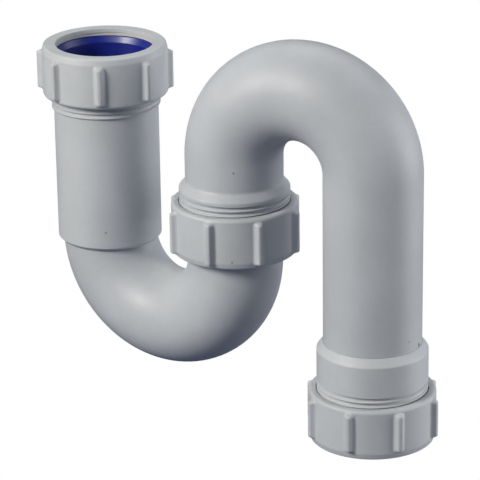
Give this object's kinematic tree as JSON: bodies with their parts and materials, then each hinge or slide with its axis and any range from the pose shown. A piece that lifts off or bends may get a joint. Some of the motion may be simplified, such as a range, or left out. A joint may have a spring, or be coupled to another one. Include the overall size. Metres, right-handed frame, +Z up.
{
  "type": "s trap",
  "caption": "Tubular swivel S trap for a sink waste: a U-bend under a sleeve inlet, an S-bend that turns on a swivel joint, and ribbed compression nuts over blue seals.",
  "frame": {"origin": "centre of the inlet seal's bore at its mouth", "axes": "+Z up along the inlet, out of the trap; the U-bend runs from the inlet towards +X, so the XZ plane is the U-bend's plane"},
  "size_m": [0.1942, 0.0691, 0.1749],
  "materials": {
    "grey_plastic": "smooth semi-matt moulding",
    "grey_plastic_light": "smooth semi-matt moulding",
    "nylon": "smooth",
    "blue_rubber": "smooth, glossy"
  },
  "bodies": {
    "trap_body": {"inlet_sleeve": "grey_plastic_light", "inlet_seal": "blue_rubber", "u_bend": "grey_plastic"},
    "inlet_washer_body": {"inlet_slip_washer": "nylon"},
    "inlet_nut_body": {"inlet_nut": "grey_plastic_light"},
    "swing": {"s_bend": "grey_plastic", "outlet_socket": "grey_plastic_light", "swivel_seal": "blue_rubber", "outlet_seal": "blue_rubber"},
    "swivel_washer_body": {"swivel_slip_washer": "nylon"},
    "swivel_nut_body": {"swivel_nut": "grey_plastic"},
    "outlet_washer_body": {"outlet_slip_washer": "nylon"},
    "outlet_nut_body": {"outlet_nut": "grey_plastic"}
  },
  "joints": [
    {"name": "swivel", "type": "hinge", "parent": "trap_body", "child": "swing", "pos_m": [0.0694, 0, -0.0569], "axis": [0, 0, 1], "range_deg": [-136, 120]},
    {"name": "inlet_nut_travel", "type": "slide", "parent": "trap_body", "child": "inlet_washer_body", "axis": [0, 0, 1], "range_m": [0, 0.0139]},
    {"name": "inlet_nut_turn", "type": "hinge", "parent": "inlet_washer_body", "child": "inlet_nut_body", "pos_m": [0, 0, 0], "axis": [0, 0, 1], "range_deg": [0, 2160]},
    {"name": "swivel_nut_travel", "type": "slide", "parent": "swing", "child": "swivel_washer_body", "axis": [0, 0, -1], "range_m": [0, 0.007]},
    {"name": "swivel_nut_turn", "type": "hinge", "parent": "swivel_washer_body", "child": "swivel_nut_body", "pos_m": [0.0694, 0, -0.0669], "axis": [0, 0, -1], "range_deg": [0, 1080]},
    {"name": "outlet_nut_travel", "type": "slide", "parent": "swing", "child": "outlet_washer_body", "axis": [0, 0, -1], "range_m": [0, 0.0139]},
    {"name": "outlet_nut_turn", "type": "hinge", "parent": "outlet_washer_body", "child": "outlet_nut_body", "pos_m": [0.13469, 0.00964, -0.1461], "axis": [0, 0, -1], "range_deg": [0, 2160]}
  ],
  "couplings": [
    {"joint": "inlet_nut_travel", "follows": "inlet_nut_turn", "m_per_rad": 0.00036749},
    {"joint": "swivel_nut_travel", "follows": "swivel_nut_turn", "m_per_rad": 0.00036749},
    {"joint": "outlet_nut_travel", "follows": "outlet_nut_turn", "m_per_rad": 0.00036749}
  ]
}
